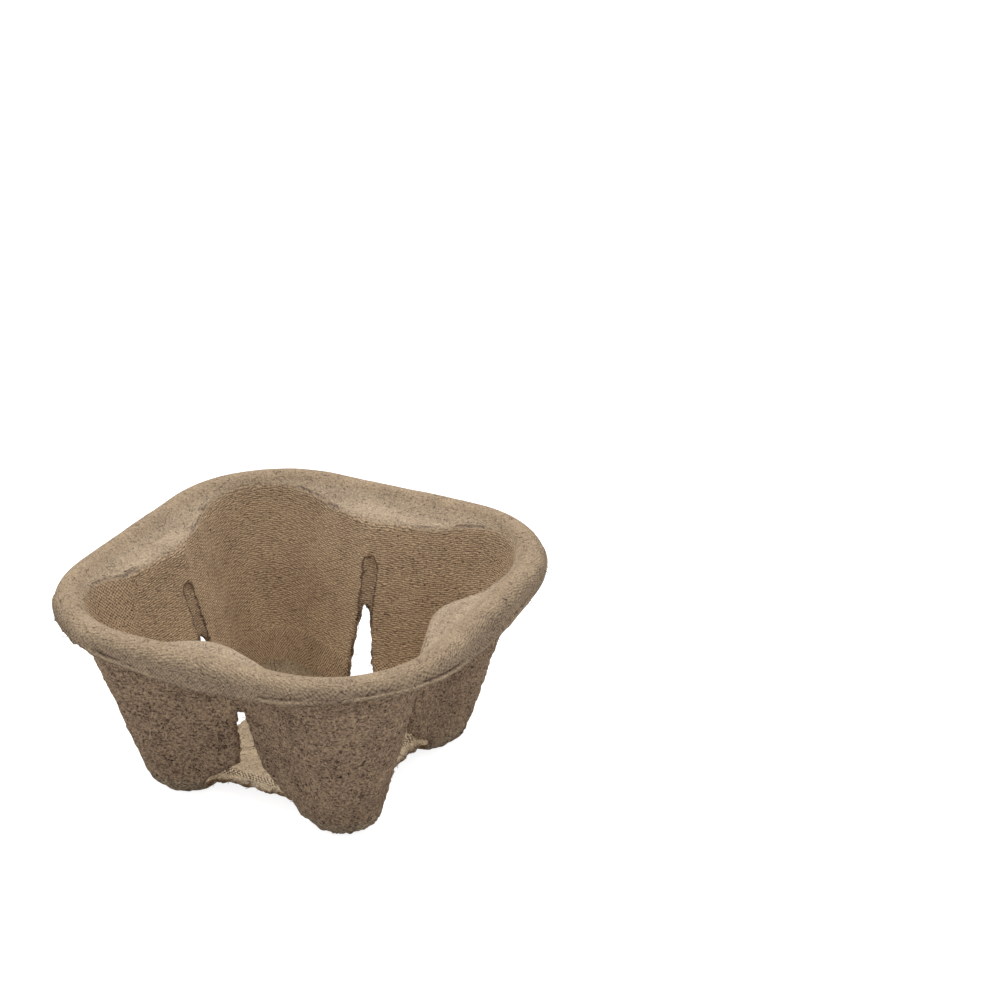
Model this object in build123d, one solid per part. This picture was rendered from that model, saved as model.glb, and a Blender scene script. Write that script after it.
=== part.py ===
from build123d import *
import os
from math import acos, atan, cos, degrees, radians, sin, sqrt, tan

# One-cup carrier, pressed in one piece from wet paper pulp. Four lobes stand on four feet and open
# upwards to a rounded-square rim. Each lobe is a leaning cone between two flat flanks. The flanks
# of two lobes meet in a rounded dip that grips the cup, and roll out there onto the pads of the
# rim. A T-shaped opening in each dip lets the wall flex.
# All sizes are in millimetres, +Z is up, the feet stand on z = 0 and the flat sides of the rim
# face along X and Y.

# Overall sizes
rim_width = 120.0            # across the flat sides of the rim
height = 61.5                # feet to the crest of the rim
wall = 1.8                   # thickness of the pressed pulp

# Rim: a rolled bead with a skirt that hangs from its outer side
rim_corner_radius = 39.0     # rounding of the rim's corners, seen from above
bead_radius = 4.5            # outer radius of the bead
bead_slope_width = 4.5       # the slope from the crest in to the pads
skirt_depth = 6.8            # crest of the bead to the torn lower edge
pad_drop = 2.3               # how far the pads beside the cup lie below the crest

# Wall with four lobes, measured on its inner face. Two flat flanks lead to each lobe.
flank_turn = 20.0            # degrees that a flank turns from the side of the carrier it faces
flank_draft = 12.9           # degrees that a flank leans out
foot_flank_reach = 22.5      # centre to the plane of a flank, at z = 0
lobe_lean = 17.6             # degrees that the outermost line of a lobe leans out
foot_lobe_reach = 43.6       # centre to that line, at z = 0
dip_rounding = 12.0          # rounding between the two flanks of a dip
foot_rounding = 5.0          # outer rounding between wall and floor
saddle_radius = 12.0         # roll of the wall in a dip out onto the pads
saddle_width = 60.0          # along the side

# Floor: vaulted between the feet, with a creased cross from foot to foot
vault_rise = 4.2             # underside of the middle above the feet
vault_foot_radius = 35.0     # where the vault starts, inside the feet
vault_top_radius = 27.0      # where it levels out
crease_radius = 4.0          # section of the moulding bar that presses the crease
crease_depth = 0.9

# T-shaped openings between the lobes
opening_floor_edge = 27.2    # centre to the straight edge of the floor
opening_width = 31.0         # along the floor
opening_end_height = 4.0     # top of the bar's ends
neck_width = 8.8
neck_height = 13.0
slit_top_width = 2.2
slit_top_height = 32.0
opening_corner = 1.8
tip_roundness = 0.45         # rounding of the slit's and the slot's tip, as a share of their width
slot_width = 4.4             # shallow slot that the tool leaves above and round the slit
slot_depth = 0.8
slot_top_height = 46.5

half_width = rim_width / 2
pad_height = height - pad_drop
lean = radians(flank_draft)
turned = radians(flank_turn)
dip_lean = atan(tan(lean) / cos(turned))
bead_height = height - bead_radius
bead_reach = half_width - bead_radius * cos(lean) - (skirt_depth - bead_radius * (1 - sin(lean))) * tan(lean)
hollow_bands = 2             # bends of the sheet that make the hollow under the bead
bead_bands = 2 * hollow_bands    # and its outside

# Each lobe is a cone that leans outwards and touches the two flanks beside it. Its apex is where
# its outermost line meets the line that the two flanks share.
outermost = radians(lobe_lean)
spread = cos(radians(45) + turned)
apex_height = (foot_flank_reach / spread - foot_lobe_reach) / (tan(outermost) - tan(lean) / spread)
apex_reach = foot_lobe_reach + apex_height * tan(outermost)
cone_tilt = atan((sin(outermost) - sin(lean)) / (cos(outermost) - cos(lean) * spread))
cone_angle = outermost - cone_tilt
cone_axis = Vector(sin(cone_tilt) / sqrt(2), sin(cone_tilt) / sqrt(2), cos(cone_tilt))
cone_spare = 0.2             # share by which a cone is drawn longer than its lobe at both ends
flank = Vector(cos(lean) * cos(turned), -cos(lean) * sin(turned), -sin(lean))
next_flank = Vector(flank.Y, flank.X, flank.Z)


def along(point, direction, z):
    """Where a line through a point reaches height z."""
    return point + direction * ((z - point.Z) / direction.Z)


def dip_line(skin, z):
    """Centre to the line where the two flanks of a dip meet, at height z."""
    return (foot_flank_reach + z * tan(lean) + skin * wall / cos(lean)) / cos(turned)


def lobed_body(skin):
    """Solid inside one face of the wall; skin 0 is its inner face and skin 1 its outer face."""
    floor_height = (1 - skin) * wall
    apex = Vector(apex_reach / sqrt(2), apex_reach / sqrt(2), apex_height)
    apex -= cone_axis * (skin * wall / sin(cone_angle))
    touch_lines = [cone_axis - normal * normal.dot(cone_axis) for normal in (flank, next_flank)]
    rings = []
    for z in (floor_height, pad_height):
        corners = [Vector(dip_line(skin, z), 0, z)]
        corners += [along(apex, line, z) for line in (touch_lines[0], cone_axis, touch_lines[1])]
        rings.append([corner.rotate(Axis.Z, 90 * side) for side in range(4) for corner in corners])
    low, high = rings
    faces = [make_face(Polyline(*ring, close=True)) for ring in rings]
    for i in range(len(low)):
        faces.append(make_face(Polyline(low[i - 1], low[i], high[i], high[i - 1], close=True)))
    core = Solid(Shell(faces))

    near = (floor_height - apex.Z) * (1 - cone_spare)
    far = (pad_height - apex.Z) * (1 + cone_spare)
    touches = [normal - cone_axis * normal.dot(cone_axis) for normal in (flank, next_flank)]
    lobe_turn = degrees(acos(touches[0].normalized().dot(touches[1].normalized())))
    cone = Plane(origin=apex + cone_axis * near, x_dir=touches[0], z_dir=cone_axis) * Cone(
        near * tan(cone_angle), far * tan(cone_angle), far - near, arc_size=lobe_turn,
        align=(Align.NONE, Align.NONE, Align.MIN))
    layer = extrude(Rectangle(2 * rim_width, 2 * rim_width), pad_height - floor_height)
    lobe = cone & Pos(0, 0, floor_height) * layer
    body = Part() + core + [Rot(0, 0, 90 * side) * lobe for side in range(4)]
    half_way = pad_height / 2
    dips = []
    for side in range(4):
        on_dip = Vector(dip_line(skin, half_way), 0, half_way).rotate(Axis.Z, 90 * side)
        dips.append(body.edges().sort_by_distance(on_dip)[0])
    body = fillet(dips, dip_rounding - skin * wall)
    foot_edges = body.faces().sort_by(Axis.Z)[0].outer_wire().edges()
    if skin > 0:
        return fillet(foot_edges, foot_rounding)
    return chamfer(foot_edges, (foot_rounding - wall) / 2)


def saddles(skin):
    """Space inside one face of the rolls that carry the wall in the dips onto the pads."""
    roll = saddle_radius - skin * wall
    axis_height = pad_height - saddle_radius
    dip_reach = dip_line(0, axis_height) + dip_rounding * (1 / cos(turned) - 1)
    axis_reach = dip_reach + saddle_radius / cos(dip_lean)
    block = Pos(foot_flank_reach, 0, axis_height) * Box(
        axis_reach - foot_flank_reach, saddle_width, saddle_radius,
        align=(Align.MIN, Align.CENTER, Align.MIN))
    roll_line = Pos(axis_reach, 0, axis_height) * Rot(90, 0, 0)
    space = block - roll_line * Cylinder(roll, saddle_width)
    return Part() + [Rot(0, 0, 90 * side) * space for side in range(4)]


def on_bead(radius, angle):
    """Point of the rim's section at an angle above level round the middle of the bead."""
    return bead_reach + radius * cos(angle), bead_height + radius * sin(angle)


def rim_ring(skin):
    """Solid under one face of the rim: skin 1 is its top and outside, skin 0 the space below."""
    inset = (1 - skin) * wall
    bead = bead_radius - inset
    pad = pad_height - inset
    skirt_end = height - skirt_depth - inset
    inner_end = half_width - rim_corner_radius + wall
    side = on_bead(bead, lean)
    crest = on_bead(bead, radians(90))
    turn = radians(90) - lean
    bands = bead_bands if skin == 1 else hollow_bands
    bend = bead / cos(turn / bands / 2)
    over = [on_bead(bend, lean + turn * (band + 0.5) / bands) for band in range(bands)]
    lip = (side[0] + (side[1] - skirt_end) * tan(lean), skirt_end)
    section = make_face(Polyline(
        lip, *over, crest, (bead_reach - bead_slope_width, pad), (inner_end, pad), (inner_end, skirt_end),
        close=True))
    rim_line = RectangleRounded(rim_width, rim_width, rim_corner_radius).face().outer_wire()
    return sweep(Plane.XZ * section, path=rim_line)


def vault(skin):
    """Round vault under the floor; skin 1 is its underside and skin 0 its top."""
    lift = (1 - skin) * wall
    slope = atan(vault_rise / (vault_foot_radius - vault_top_radius))
    shift = lift * tan(slope / 2)
    section = make_face(Polyline(
        (0, -wall), (vault_foot_radius + shift, -wall), (vault_foot_radius + shift, lift),
        (vault_top_radius + shift, vault_rise + lift), (0, vault_rise + lift), close=True))
    return revolve(Plane.XZ * section, Axis.Z)


def creases(skin):
    """The pressed cross under the floor: a round bar along each diagonal, fading at the feet."""
    lift = (1 - skin) * wall
    bar_height = vault_rise + crease_depth - crease_radius
    end = vault_foot_radius + crease_radius
    end_height = bar_height - (end - vault_top_radius) * vault_rise / (vault_foot_radius - vault_top_radius)
    bar_line = Plane.XZ * Polyline(
        (-end, end_height), (-vault_top_radius, bar_height),
        (vault_top_radius, bar_height), (end, end_height))
    bar_end = Plane(origin=bar_line @ 0, z_dir=bar_line % 0) * Circle(crease_radius + lift)
    bar = sweep(bar_end, path=bar_line, transition=Transition.RIGHT)
    return Rot(0, 0, 45) * bar + Rot(0, 0, -45) * bar


def opening_outline():
    """The T as seen square on from its side of the carrier: X runs along the side, Y is up."""
    bar_end = opening_width / 2
    neck = neck_width / 2
    slit = slit_top_width / 2
    half = [(bar_end, -wall), (bar_end, opening_end_height), (neck, neck_height), (slit, slit_top_height)]
    outline = make_face(Polyline(*half, *[(-x, z) for x, z in reversed(half)], close=True))
    corners = outline.vertices().filter_by(lambda corner: corner.Y > 0)
    rounded = fillet(corners.filter_by(lambda corner: corner.Y < slit_top_height), opening_corner)
    tip = rounded.vertices().group_by(Axis.Y)[-1]
    return fillet(tip, slit_top_width * tip_roundness)


def slot_outline():
    """The shallow slot round the slit, wider below and round at its top."""
    top = slot_width / 2
    foot = top + (neck_width - slit_top_width) / 2
    half = [(foot, neck_height), (top, slit_top_height), (top, slot_top_height)]
    outline = make_face(Polyline(*half, *[(-x, z) for x, z in reversed(half)], close=True))
    tip = outline.vertices().group_by(Axis.Y)[-1]
    return fillet(tip, slot_width * tip_roundness)


def through_sides(outline, start, end):
    """Push a shape drawn square on to a side through all four sides of the carrier."""
    cutter = extrude(Plane.YZ.offset(start) * outline, end - start)
    return Part() + [Rot(0, 0, 90 * side) * cutter for side in range(4)]


# The sheet between the two faces, then the bead's hollow, the mouth and the openings
outside = lobed_body(1) - vault(1) - creases(1) + saddles(1)
inside = lobed_body(0) - vault(0) - creases(0) + saddles(0)
mouth = extrude(inside.faces().sort_by(Axis.Z)[-1], height - pad_height + wall)
below_rim = rim_ring(0) - lobed_body(1) - saddles(1)
carrier = rim_ring(1) + outside - below_rim - inside - mouth
beyond = half_width - bead_radius * 2
above_floor = Pos(0, vault_rise + wall) * Rectangle(rim_width, height, align=(Align.CENTER, Align.MIN))
carrier -= through_sides(opening_outline(), opening_floor_edge, beyond)
carrier -= through_sides(opening_outline() & above_floor, dip_line(0, 0), beyond)
slot_floor = lobed_body(slot_depth / wall)
carrier -= through_sides(slot_outline(), dip_line(0, 0), beyond) & slot_floor

os.makedirs("parts", exist_ok=True)
export_step(carrier, "parts/carrier.step")
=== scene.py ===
import math

import bpy
import numpy as np
from mathutils import Matrix, Vector, noise


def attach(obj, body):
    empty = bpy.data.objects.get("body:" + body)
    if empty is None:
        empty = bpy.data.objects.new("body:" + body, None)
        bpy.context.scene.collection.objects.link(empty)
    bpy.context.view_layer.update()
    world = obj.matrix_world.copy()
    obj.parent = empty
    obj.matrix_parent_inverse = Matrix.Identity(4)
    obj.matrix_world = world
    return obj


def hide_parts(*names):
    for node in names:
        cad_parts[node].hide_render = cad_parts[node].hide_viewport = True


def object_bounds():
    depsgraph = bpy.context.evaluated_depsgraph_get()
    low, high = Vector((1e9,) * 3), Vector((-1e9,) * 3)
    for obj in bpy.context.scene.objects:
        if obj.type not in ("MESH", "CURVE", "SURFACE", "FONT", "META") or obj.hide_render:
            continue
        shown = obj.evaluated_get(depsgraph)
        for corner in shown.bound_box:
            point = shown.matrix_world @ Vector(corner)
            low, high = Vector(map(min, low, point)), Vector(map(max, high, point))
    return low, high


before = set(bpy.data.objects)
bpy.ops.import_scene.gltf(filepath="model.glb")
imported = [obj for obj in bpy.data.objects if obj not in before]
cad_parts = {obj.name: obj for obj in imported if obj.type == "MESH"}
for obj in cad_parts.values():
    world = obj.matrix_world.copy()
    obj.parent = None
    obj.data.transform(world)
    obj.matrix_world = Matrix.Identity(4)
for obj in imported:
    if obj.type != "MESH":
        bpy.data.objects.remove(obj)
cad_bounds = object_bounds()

scene = bpy.context.scene
mm = 0.001

# Camera: it stands low over the front corner of the carrier, two thirds of a metre away, and looks
# past it, so that the carrier fills the lower left of the frame.
camera_turn = math.radians(31.61)         # from square on to the front side, towards the right
camera_rise = math.radians(29.17)
camera_roll = math.radians(-2.468)
camera_distance = 668.6 * mm
aim_point = Vector((0, 0, 30 * mm))
aim_pixel = (307.54, 664.29)              # where the aim point lands in the 1000 x 1000 frame
focal_pixels = 2360.0
frame_pixels = 1000
sensor = 36.0
nearest_seen = 10 * mm

back = Vector((math.sin(camera_turn) * math.cos(camera_rise),
               -math.cos(camera_turn) * math.cos(camera_rise), math.sin(camera_rise)))
right = (-back).cross(Vector((0, 0, 1))).normalized()
up = right.cross(-back)
right, up = (math.cos(camera_roll) * right + math.sin(camera_roll) * up,
             math.cos(camera_roll) * up - math.sin(camera_roll) * right)
half_frame = frame_pixels / 2
to_aim = Vector(((aim_pixel[0] - half_frame) / focal_pixels,
                 (half_frame - aim_pixel[1]) / focal_pixels, -1)).normalized()
swing = Vector((0, 0, -1)).rotation_difference(to_aim).to_matrix()
world_to_camera = swing @ Matrix((right, up, back))
camera_place = Matrix.Translation(aim_point + back * camera_distance)

camera = bpy.data.objects.new("camera", bpy.data.cameras.new("camera"))
camera.matrix_world = camera_place @ world_to_camera.transposed().to_4x4()
camera.data.sensor_width = sensor
camera.data.lens = focal_pixels / frame_pixels * sensor
camera.data.clip_start = nearest_seen
scene.collection.objects.link(camera)
scene.camera = camera
scene.view_settings.view_transform = "Standard"

# White sweep: a wide sheet of matt paper under the carrier. It looks white to the camera and in
# reflections, but it is still shaded, so the feet keep their soft shadow.
sweep_size = 3.0
paper_grey, paper_roughness, paper_shine = 0.6, 0.9, 0.1
paper_glow = 0.85                         # added only where the camera or a reflection sees the paper


def feed(tree, socket, value):
    """Link a socket to a node's output, or give it a plain value."""
    if isinstance(value, bpy.types.NodeSocket):
        tree.links.new(value, socket)
    else:
        socket.default_value = value


def calc(tree, kind, *values, clamp=False):
    node = tree.nodes.new("ShaderNodeMath")
    node.operation = kind
    node.use_clamp = clamp
    for socket, value in zip(node.inputs, values):
        feed(tree, socket, value)
    return node.outputs[0]


def show_as(tree, seen, lighting, looks, output_kind):
    """Light the scene with one shader and show another where seen is 1."""
    mix = tree.nodes.new("ShaderNodeMixShader")
    feed(tree, mix.inputs["Fac"], seen)
    feed(tree, mix.inputs[1], lighting)
    feed(tree, mix.inputs[2], looks)
    out = tree.nodes.new(output_kind)
    feed(tree, out.inputs["Surface"], mix.outputs["Shader"])


corners = ((-1, -1), (1, -1), (1, 1), (-1, 1))
sweep_mesh = bpy.data.meshes.new("white_sweep")
sweep_mesh.from_pydata([(x * sweep_size, y * sweep_size, 0) for x, y in corners], [], [(0, 1, 2, 3)])
sweep = bpy.data.objects.new("white_sweep", sweep_mesh)
scene.collection.objects.link(sweep)

white_paper = bpy.data.materials.new("white_paper_sweep")
white_paper.use_nodes = True
tree = white_paper.node_tree
tree.nodes.clear()
paper = tree.nodes.new("ShaderNodeBsdfPrincipled")
paper.inputs["Base Color"].default_value = (paper_grey, paper_grey, paper_grey, 1)
paper.inputs["Roughness"].default_value = paper_roughness
paper.inputs["Specular IOR Level"].default_value = paper_shine
glow = tree.nodes.new("ShaderNodeEmission")
glow.inputs["Color"].default_value = (1, 1, 1, 1)
glow.inputs["Strength"].default_value = paper_glow
lit_paper = tree.nodes.new("ShaderNodeAddShader")
feed(tree, lit_paper.inputs[0], paper.outputs["BSDF"])
feed(tree, lit_paper.inputs[1], glow.outputs["Emission"])
rays = tree.nodes.new("ShaderNodeLightPath").outputs
seen = calc(tree, "MAXIMUM", rays["Is Camera Ray"], rays["Is Glossy Ray"])
seen = calc(tree, "MAXIMUM", seen, rays["Is Transmission Ray"])
show_as(tree, seen, paper.outputs["BSDF"], lit_paper.outputs["Shader"], "ShaderNodeOutputMaterial")
sweep_mesh.materials.append(white_paper)

# Studio room: a bright ceiling over walls that are less bright, plain white where the camera sees
# it, and one large soft lamp overhead.
walls_light, ceiling_light = 0.4, 0.95
walls_end, ceiling_start = -0.1, 0.7      # height of a direction, from -1 below to 1 above
lamp_place, lamp_size, lamp_watts = (-0.25, 0.35, 1.1), 0.7, 6.0

world = bpy.data.worlds.new("studio")
world.use_nodes = True
scene.world = world
tree = world.node_tree
tree.nodes.clear()
direction = tree.nodes.new("ShaderNodeTexCoord")
height = tree.nodes.new("ShaderNodeSeparateXYZ")
feed(tree, height.inputs["Vector"], direction.outputs["Generated"])
ceiling = tree.nodes.new("ShaderNodeMapRange")
ceiling.interpolation_type = "SMOOTHSTEP"
for label, value in (("Value", height.outputs["Z"]), ("From Min", walls_end), ("From Max", ceiling_start),
                     ("To Min", walls_light), ("To Max", ceiling_light)):
    feed(tree, ceiling.inputs[label], value)
room = tree.nodes.new("ShaderNodeBackground")
room.inputs["Color"].default_value = (1, 1, 1, 1)
feed(tree, room.inputs["Strength"], ceiling.outputs["Result"])
white_room = tree.nodes.new("ShaderNodeBackground")
white_room.inputs["Color"].default_value = (1, 1, 1, 1)
seen = tree.nodes.new("ShaderNodeLightPath").outputs["Is Camera Ray"]
show_as(tree, seen, room.outputs["Background"], white_room.outputs["Background"], "ShaderNodeOutputWorld")

softbox = bpy.data.lights.new("overhead_softbox", "AREA")
softbox.shape = "DISK"
softbox.size = lamp_size
softbox.energy = lamp_watts
lamp = bpy.data.objects.new("overhead_softbox", softbox)
lamp.location = lamp_place
lamp.rotation_euler = (aim_point - Vector(lamp_place)).to_track_quat("-Z", "Y").to_euler()
scene.collection.objects.link(lamp)

# Pressed pulp sheet: the whole carrier is one sheet of wet paper fibre, sucked onto a wire-covered
# mould and dried. It runs from the middle of the floor out to the feet, up the four lobes and the
# dips between them, over the bead and down to the torn lip. Sizes are in millimetres.
half_side, top_level = (round(cad_bounds[1][axis] / mm, 2) for axis in (0, 2))
wall = 1.8
half_wall = wall / 2

# sizes of the sheet's middle surface
flank_turn = math.radians(20.0)               # a flank turns this far from the side it faces
foot_flank, flank_lean = 23.4, math.radians(15.0)     # centre to the plane of a flank, at z = 0
foot_lobe, lobe_lean = 44.5, math.radians(17.6)       # centre to the outside of a lobe, at z = 0
tuck, tuck_start, tuck_end = 1.5, 44.0, 60.0  # under the rim a lobe is this much steeper
dip_rounding = 11.0
vault_height, vault_top, vault_foot = 5.1, 27.0, 35.0
patch_reach, patch_squareness = 21.0, 5       # the square patch in the middle of the floor
foot_rounding, foot_rise = 6.0, 0.95          # the rounding's reach along the floor, and up the wall
mouth_rounding, dip_roll, dip_half_width = 1.0, 2.3, 12.0     # lobes turn sharply, dips roll wide
mouth_rise = 0.96
most_of_floor, most_of_pad = 0.7, 0.8         # a rounding takes at most this share of them
bead = 3.3                                    # radius of the bead's middle line
crest_half = half_side - 4.7                  # centre to the line along the top of the bead
crest_corner, crest_height = 32.6, top_level - half_wall
slope_in, pad_in = 2.5, 9.0                   # the bead's inner slope, and where it has run out
lip_flare, lip_drop, lip_wave = 0.6, 2.5, 1.75
front_sag = 0.45                              # the rim is this much lower at the front corner
side_pushes = (0.0, -0.8, 1.0, 0.0)           # the dips on the +X, +Y, -X and -Y sides stand out

# each pad swells beside its dip, most on the +X side, and has two shallow hollows beyond
hump_height, high_hump, hump_inside, hump_spread, hump_length = 1.9, 2.5, 11.5, 6.5, 14.0
front_hump_shift = 2.5
hollow_depth, hollow_inside, hollow_spread, hollow_along, hollow_length = 0.45, 8.0, 4.0, 18.0, 6.0

# columns of the sheet round one side, and steps up it
dip_columns, flank_columns, lobe_columns = 12, 22, 34
zone_columns = np.array([dip_columns, flank_columns, lobe_columns, flank_columns])
side_columns = int(zone_columns.sum())
columns = 4 * side_columns
floor_steps, foot_steps, wall_steps, mouth_steps, pad_steps, bead_steps, lip_steps = 20, 8, 54, 13, 6, 7, 7


def ease(t):
    """Smooth step from 0 to 1, level at both ends."""
    t = np.clip(t, 0, 1)
    return t * t * (3 - 2 * t)


def step(value, start, end):
    """Smooth step as a value goes from a start to an end, either way round."""
    return ease((value - start) / (end - start))


def near_to(value, middle, spread):
    """One at the middle, easing to nothing at the spread on either side."""
    return ease(1 - np.abs(value - middle) / spread)


def wall_point(z, turn, zone, share):
    """Point of the wall at height z, at a share of the way through a zone of a turned side."""
    cos, sin = math.cos(flank_turn), math.sin(flank_turn)
    flank = foot_flank + z * math.tan(flank_lean)
    reach = foot_lobe + z * math.tan(lobe_lean) - tuck * step(z, tuck_start, tuck_end)
    centre = (reach - flank) / (math.sqrt(2) - cos + sin)
    lobe = flank - centre * (cos - sin)
    bend = (2 * share - 1) * flank_turn
    middle = (flank + dip_rounding) / cos
    t = np.where(zone == 1, share, 1 - share)
    start_x, start_y = middle - dip_rounding * cos, dip_rounding * sin
    flank_x = start_x + (centre + lobe * cos - start_x) * t
    flank_y = start_y + (centre - lobe * sin - start_y) * t
    swing = share * (math.pi / 2 + 2 * flank_turn) - flank_turn
    dip_x, dip_y = middle - dip_rounding * np.cos(bend), dip_rounding * np.sin(bend)
    lobe_x, lobe_y = centre + lobe * np.cos(swing), centre + lobe * np.sin(swing)
    zones = [zone == 0, zone == 1, zone == 2]      # what is left is the second flank, a mirrored first one
    x = np.select(zones, [dip_x, flank_x, lobe_x], flank_y)
    y = np.select(zones, [dip_y, flank_y, lobe_y], flank_x)
    return np.cos(turn) * x - np.sin(turn) * y, np.sin(turn) * x + np.cos(turn) * y


def vault_level(x, y):
    radius = np.hypot(x, y)
    return vault_height + (half_wall - vault_height) * step(radius, vault_top, vault_foot)


def crest_point(angle):
    """Point and outward direction of the bead's crest line in the direction of an angle."""
    turn = np.round(angle / (math.pi / 2)) * math.pi / 2
    local = angle - turn
    cos, sin = np.cos(local), np.abs(np.sin(local))
    c = crest_half - crest_corner
    b = c * (cos + sin)
    t = b + np.sqrt(np.maximum(b * b - 2 * c * c + crest_corner ** 2, 0))
    flat = crest_half * sin / cos <= c
    x = np.where(flat, crest_half, t * cos)
    y = np.where(flat, crest_half * sin / cos, t * sin)
    out_x = np.where(flat, 1, (x - c) / crest_corner)
    out_y = np.where(flat, 0, (y - c) / crest_corner)
    sign = np.sign(np.sin(local))
    y, out_y = y * sign, out_y * sign
    ct, st = np.cos(turn), np.sin(turn)
    return ct * x - st * y, st * x + ct * y, ct * out_x - st * out_y, st * out_x + ct * out_y


def inside_crest(x, y):
    """How far a point lies inside the bead's crest line."""
    qx, qy = np.abs(x) - (crest_half - crest_corner), np.abs(y) - (crest_half - crest_corner)
    outside = np.hypot(np.maximum(qx, 0), np.maximum(qy, 0)) + np.minimum(np.maximum(qx, qy), 0)
    return crest_corner - outside


def pad_level(x, y):
    """Level of the bead's inner slope and of the pads, which it runs out into."""
    inside = np.maximum(inside_crest(x, y), 0)
    on_bead = np.minimum(inside, slope_in)
    over = bead - np.sqrt(bead ** 2 - on_bead ** 2)
    steep = slope_in / math.sqrt(bead ** 2 - slope_in ** 2)
    run = np.minimum(inside, pad_in) - on_bead
    on_front_pad = (y < -30) * (np.abs(x) < 30)
    along = np.minimum(np.abs(x + front_hump_shift * on_front_pad), np.abs(y))
    hump = np.where(x > 35, high_hump, hump_height)
    hump = hump * near_to(inside, hump_inside, hump_spread) * near_to(along, 0, hump_length)
    hollow = hollow_depth * near_to(inside, hollow_inside, hollow_spread)
    hollow = hollow * near_to(along, hollow_along, hollow_length)
    return crest_height - over - steep * run * (1 - run / (2 * (pad_in - slope_in))) + hump - hollow


def between(ax, ay, bx, by, t):
    return ax + (bx - ax) * t, ay + (by - ay) * t


def rounding(start, knee, end, steps):
    """Rows of a bend that leaves one row towards a knee and comes from there to another row."""
    for t in np.linspace(0, 1, steps + 1)[1:]:
        yield tuple((1 - t) ** 2 * p + 2 * t * (1 - t) * q + t * t * r for p, q, r in zip(start, knee, end))


# where each column leaves the floor and where it reaches the pads, settled by a few rounds
column = np.arange(columns)
turn = (column // side_columns) * math.pi / 2
zone_ends = np.cumsum(zone_columns)
zone = np.digitize(column % side_columns, zone_ends)
share = (column % side_columns - (zone_ends - zone_columns)[zone]) / zone_columns[zone]
foot_z = np.full(columns, half_wall)
for _ in range(4):
    foot_x, foot_y = wall_point(foot_z, turn, zone, share)
    foot_z = vault_level(foot_x, foot_y)
first_guess = 57.0
mouth_z = np.full(columns, first_guess)
for _ in range(12):
    mouth_x, mouth_y = wall_point(mouth_z, turn, zone, share)
    mouth_z = pad_level(mouth_x, mouth_y)
crest_x, crest_y, out_x, out_y = crest_point(np.arctan2(mouth_y, mouth_x))

# rows of the sheet, from the floor's patch out to the foot of the wall
ring_angle = np.arctan2(foot_y, foot_x)
ring = (np.abs(np.cos(ring_angle)) ** patch_squareness + np.abs(np.sin(ring_angle)) ** patch_squareness)
ring = patch_reach / ring ** (1 / patch_squareness)
ring_x, ring_y = ring * np.cos(ring_angle), ring * np.sin(ring_angle)
floor_length = np.hypot(foot_x - ring_x, foot_y - ring_y)
foot_roll = np.minimum(foot_rounding, most_of_floor * floor_length)
rows = []
for t in np.linspace(0, 1, floor_steps + 1):
    x, y = between(ring_x, ring_y, foot_x, foot_y, t * (1 - foot_roll / floor_length))
    rows.append((x, y, vault_level(x, y)))

# round the foot and up the wall
rise_z = foot_z + foot_roll * foot_rise
rise_x, rise_y = wall_point(rise_z, turn, zone, share)
rows += rounding(rows[-1], (foot_x, foot_y, foot_z), (rise_x, rise_y, rise_z), foot_steps)
pad_length = np.hypot(crest_x - mouth_x, crest_y - mouth_y)
from_middle = np.minimum(np.abs(mouth_x), np.abs(mouth_y))
mouth_roll = mouth_rounding + dip_roll * (1 - step(from_middle, 0, dip_half_width))
mouth_roll = np.minimum(mouth_roll, most_of_pad * pad_length)
roll_z = mouth_z - mouth_roll * mouth_rise
for t in np.linspace(0, 1, wall_steps + 1)[1:]:
    z = rise_z + (roll_z - rise_z) * t
    rows.append((*wall_point(z, turn, zone, share), z))
wall_rows = len(rows)

# out over the mouth's rounding and the pad, over the bead, and down the lip, which hangs lowest in
# the middle of a side and is shortest round a lobe
end_x, end_y = between(mouth_x, mouth_y, crest_x, crest_y, mouth_roll / pad_length)
rows += rounding(rows[-1], (mouth_x, mouth_y, mouth_z), (end_x, end_y, pad_level(end_x, end_y)), mouth_steps)
for t in np.linspace(0, 1, pad_steps + 1)[1:]:
    x, y = between(end_x, end_y, crest_x, crest_y, t)
    rows.append((x, y, pad_level(x, y)))
crest_row = len(rows) - 1
for angle in np.linspace(math.pi / 2, 0, bead_steps + 1)[1:]:
    r, z = bead * math.cos(angle), crest_height - bead + bead * math.sin(angle)
    rows.append((crest_x + out_x * r, crest_y + out_y * r, np.full(columns, z)))
drop = lip_drop + lip_wave * np.cos(4 * np.arctan2(crest_y, crest_x))
for t in np.linspace(0, 1, lip_steps + 1)[1:]:
    r = bead + lip_flare * t
    rows.append((crest_x + out_x * r, crest_y + out_y * r, np.full(columns, crest_height - bead - drop * t)))
lip_row = len(rows) - 1
grid = np.array([np.stack(row, -1) for row in rows])

# the front of the rim sags a little, and two of the dips stand off their nominal places; the wall
# beside a dip goes along with it, and the feet and the rim stay
dip_reach, dip_inner, dip_outer, dip_blend, dip_foot = 26, 18, 52, 10, 12
grid[..., 2] -= front_sag * step(grid[..., 0] - grid[..., 1], 0, 90) * step(grid[..., 2], 40, 55)
for push, (ox, oy) in zip(side_pushes, ((1, 0), (0, 1), (-1, 0), (0, -1))):
    out = grid[..., 0] * ox + grid[..., 1] * oy
    along = np.abs(-grid[..., 0] * oy + grid[..., 1] * ox)
    in_dip = near_to(along, 0, dip_reach) * step(out, dip_inner, dip_inner + dip_blend)
    in_dip = in_dip * step(out, dip_outer, dip_outer - dip_blend) * step(grid[..., 2], 0, dip_foot)
    grid[..., 0] += ox * push * in_dip
    grid[..., 1] += oy * push * in_dip

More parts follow.
